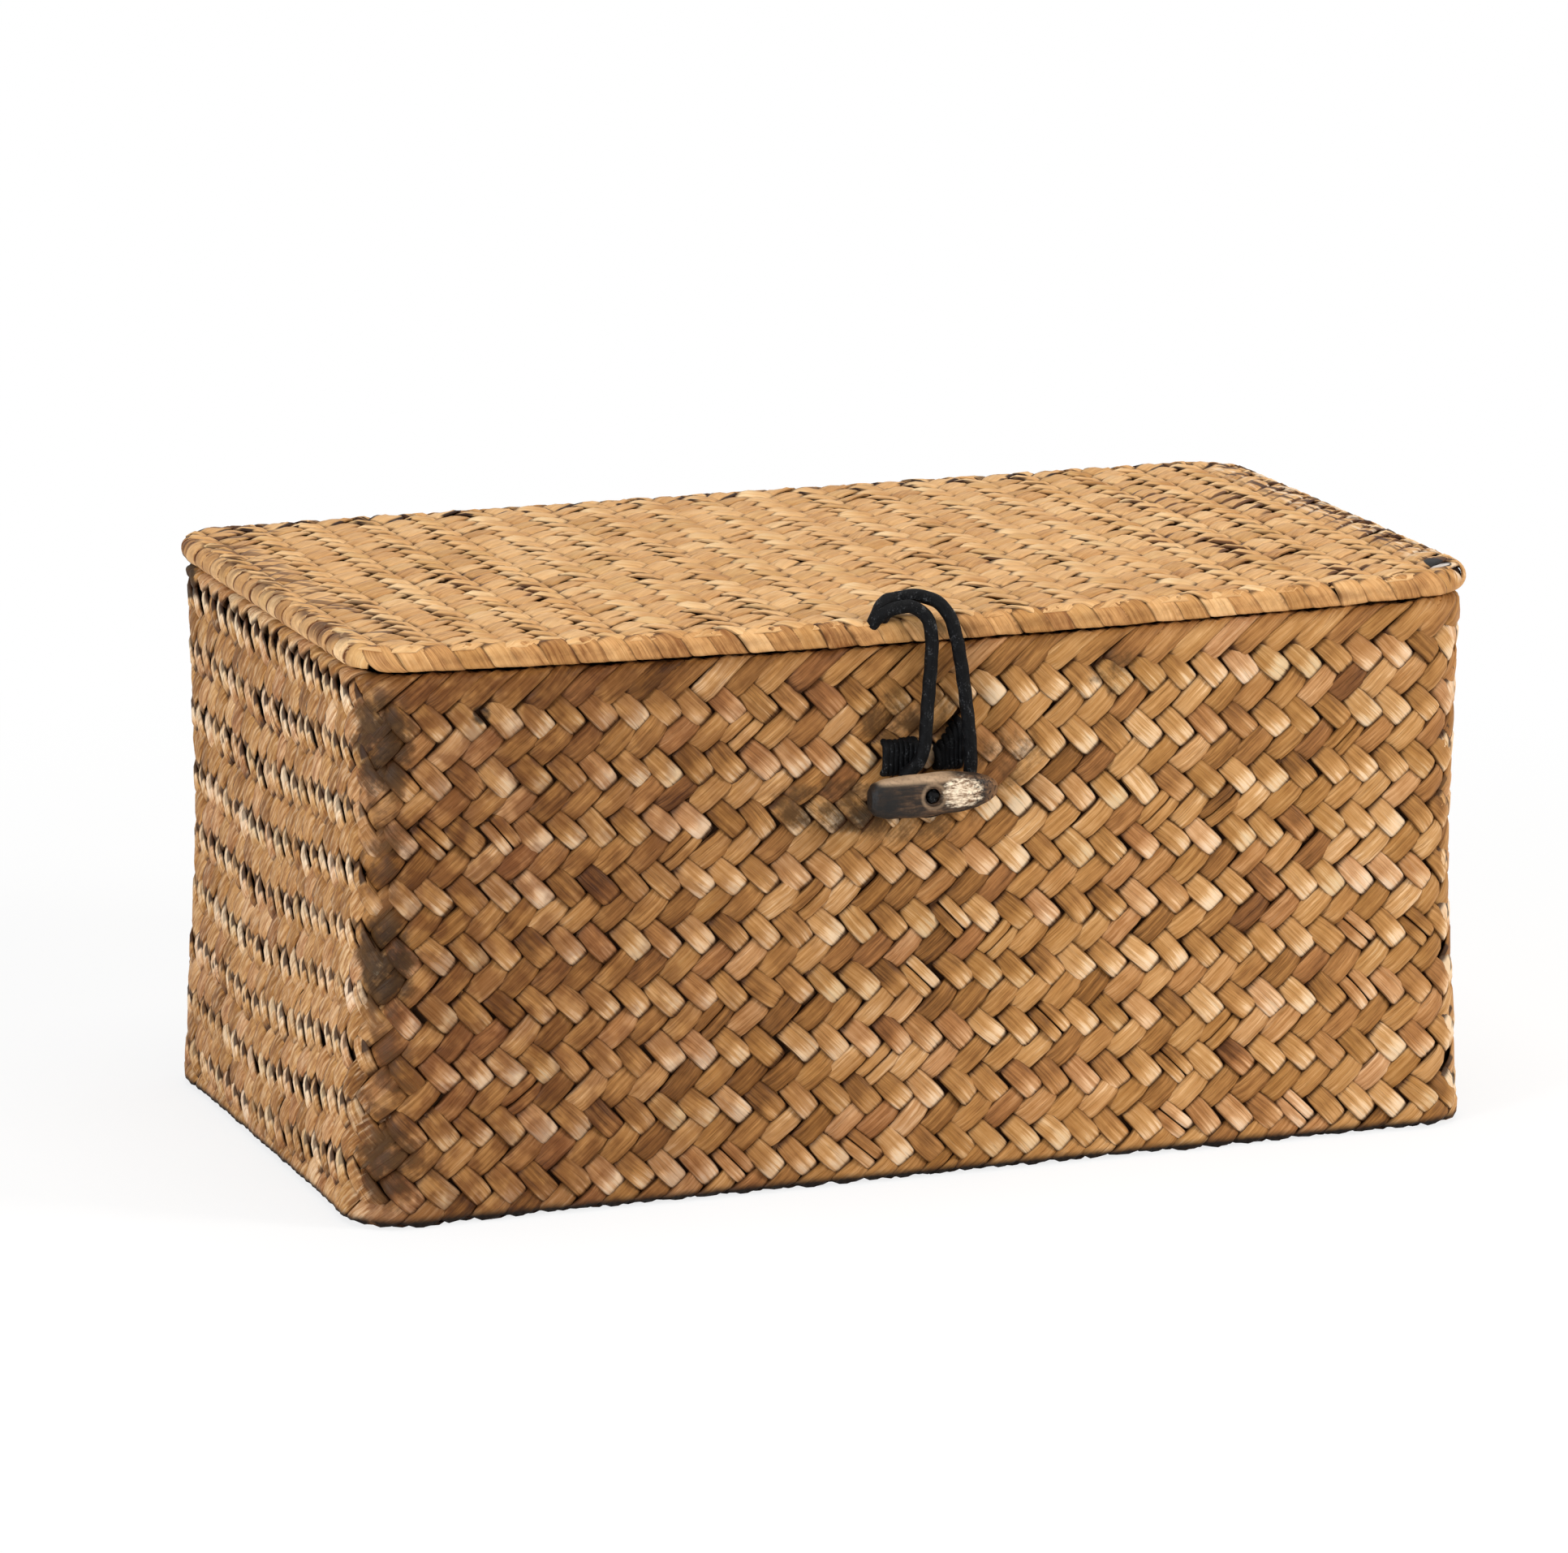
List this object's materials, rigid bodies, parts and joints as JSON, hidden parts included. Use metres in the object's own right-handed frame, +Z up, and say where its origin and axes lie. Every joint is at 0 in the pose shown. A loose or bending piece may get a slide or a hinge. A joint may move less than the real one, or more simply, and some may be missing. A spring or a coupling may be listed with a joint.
{
  "type": "woven lidded box",
  "caption": "Rectangular woven straw box with a hinged flat lid, closed by a cord loop over a toggle on the front wall.",
  "frame": {"origin": "middle of the flat bottom", "axes": "+X along the box's length to the right, +Y to the back, +Z up; the toggle is on the front, towards -Y"},
  "size_m": [0.23, 0.1388, 0.1152],
  "materials": {
    "wall_weave": "satin",
    "lining_weave": "matte",
    "lid_weave": "satin",
    "black_cord": "satin",
    "horn_toggle": "satin"
  },
  "bodies": {
    "box": {"outer_basket": "wall_weave", "inner_lining": "lining_weave", "rim_binding": "wall_weave", "hinge_tie_left": "black_cord", "hinge_tie_right": "black_cord", "toggle_tie": "black_cord", "toggle_stitch": "black_cord"},
    "lid": {"lid_border": "lid_weave", "lid_top_mat": "lid_weave", "lid_under_mat": "lining_weave", "loop_anchor": "black_cord"},
    "closure_loop": {"closure_loop": "black_cord"},
    "toggle": {"toggle": "horn_toggle"}
  },
  "joints": [
    {"name": "lid_hinge", "type": "hinge", "parent": "box", "child": "lid", "pos_m": [0, 0.062, 0.10615], "axis": [-1, 0, 0], "range_deg": [0, 180]},
    {"name": "loop_swing", "type": "hinge", "parent": "lid", "child": "closure_loop", "pos_m": [-0.0073, -0.0609, 0.113], "axis": [-1, 0, 0], "range_deg": [0, 160], "deforming": ["closure_loop"]},
    {"name": "toggle_turn", "type": "hinge", "parent": "box", "child": "toggle", "pos_m": [-0.0041, -0.0689, 0.0775], "axis": [0, 1, 0], "range_deg": [-90, 90]}
  ]
}
